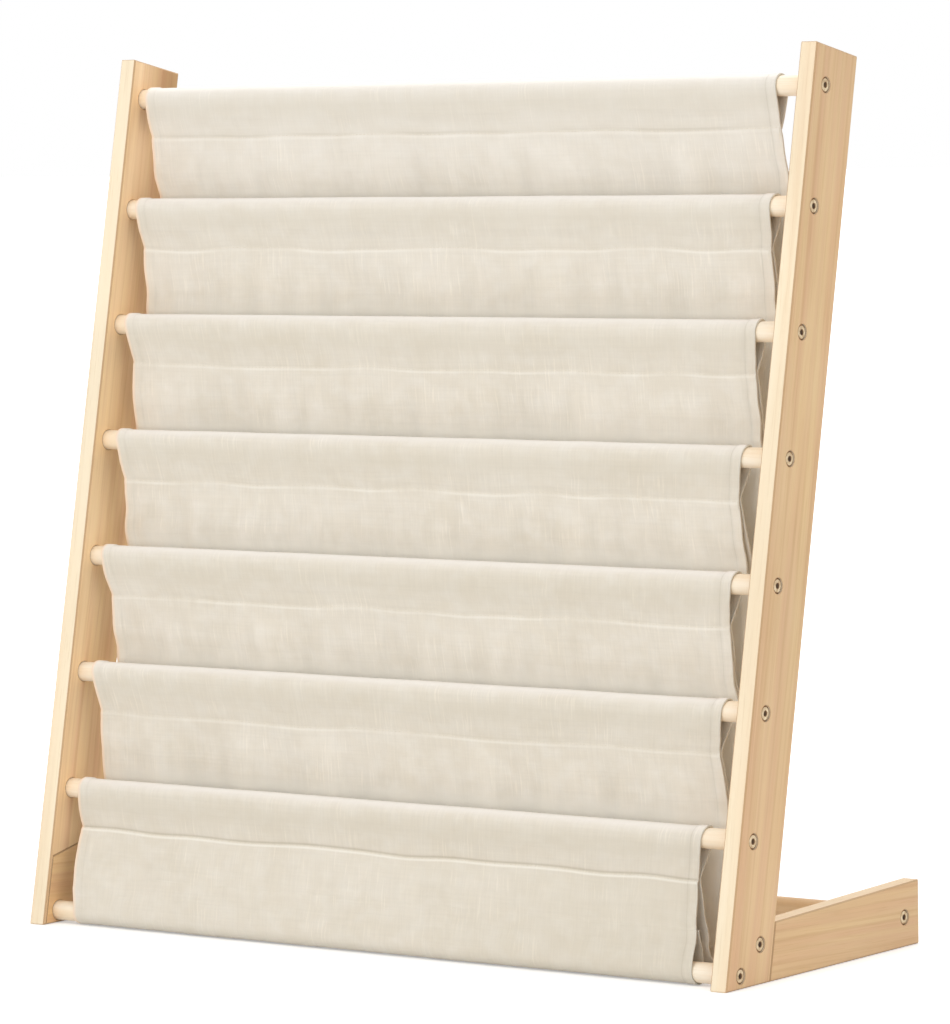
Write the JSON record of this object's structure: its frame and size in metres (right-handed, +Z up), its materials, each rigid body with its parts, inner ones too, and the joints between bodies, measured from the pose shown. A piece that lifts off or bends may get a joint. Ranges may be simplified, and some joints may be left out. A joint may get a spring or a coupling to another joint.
{
  "type": "sling bookshelf",
  "caption": "Leaning front-facing bookshelf: wooden side posts on feet, round rods between them, and one cloth that hangs over the rods in a row of pockets.",
  "frame": {"origin": "centre of the bounding box's bottom, on the floor, halfway between the posts' front bottom edge and the feet's back", "axes": "+X to the right of someone facing the front, +Y towards the back, +Z up; books face -Y"},
  "size_m": [0.68, 0.275, 0.7026],
  "materials": {
    "frame_wood": "clear satin, solid light timber with straight grain",
    "rod_wood": "clear satin, turned pale dowel",
    "linen_cloth": "matte, plain weave in a natural beige",
    "screw_steel": "satin, warm tinted head with a hexagon key"
  },
  "bodies": {
    "root": {"post_left": "frame_wood", "foot_left": "frame_wood", "rod_screw_left_1": "screw_steel", "rod_screw_left_2": "screw_steel", "rod_screw_left_3": "screw_steel", "rod_screw_left_4": "screw_steel", "rod_screw_left_5": "screw_steel", "rod_screw_left_6": "screw_steel", "rod_screw_left_7": "screw_steel", "rod_screw_left_8": "screw_steel", "foot_screw_left": "screw_steel", "rear_bar_screw_left": "screw_steel", "post_right": "frame_wood", "foot_right": "frame_wood", "rod_screw_right_1": "screw_steel", "rod_screw_right_2": "screw_steel", "rod_screw_right_3": "screw_steel", "rod_screw_right_4": "screw_steel", "rod_screw_right_5": "screw_steel", "rod_screw_right_6": "screw_steel", "rod_screw_right_7": "screw_steel", "rod_screw_right_8": "screw_steel", "foot_screw_right": "screw_steel", "rear_bar_screw_right": "screw_steel", "rod_1": "rod_wood", "rod_2": "rod_wood", "rod_3": "rod_wood", "rod_4": "rod_wood", "rod_5": "rod_wood", "rod_6": "rod_wood", "rod_7": "rod_wood", "rod_8": "rod_wood", "rear_bar": "rod_wood", "cloth_sleeve_1": "linen_cloth", "cloth_sleeve_2": "linen_cloth", "cloth_sleeve_3": "linen_cloth", "cloth_sleeve_4": "linen_cloth", "cloth_sleeve_5": "linen_cloth", "cloth_sleeve_6": "linen_cloth", "cloth_sleeve_7": "linen_cloth", "cloth_sleeve_8": "linen_cloth", "cloth_panel_1": "linen_cloth", "cloth_panel_2": "linen_cloth", "cloth_panel_3": "linen_cloth", "cloth_panel_4": "linen_cloth", "cloth_panel_5": "linen_cloth", "cloth_panel_6": "linen_cloth", "cloth_panel_7": "linen_cloth", "cloth_pocket_2": "linen_cloth", "cloth_pocket_3": "linen_cloth", "cloth_pocket_4": "linen_cloth", "cloth_pocket_5": "linen_cloth", "cloth_pocket_6": "linen_cloth", "cloth_pocket_7": "linen_cloth"}
  },
  "joints": []
}
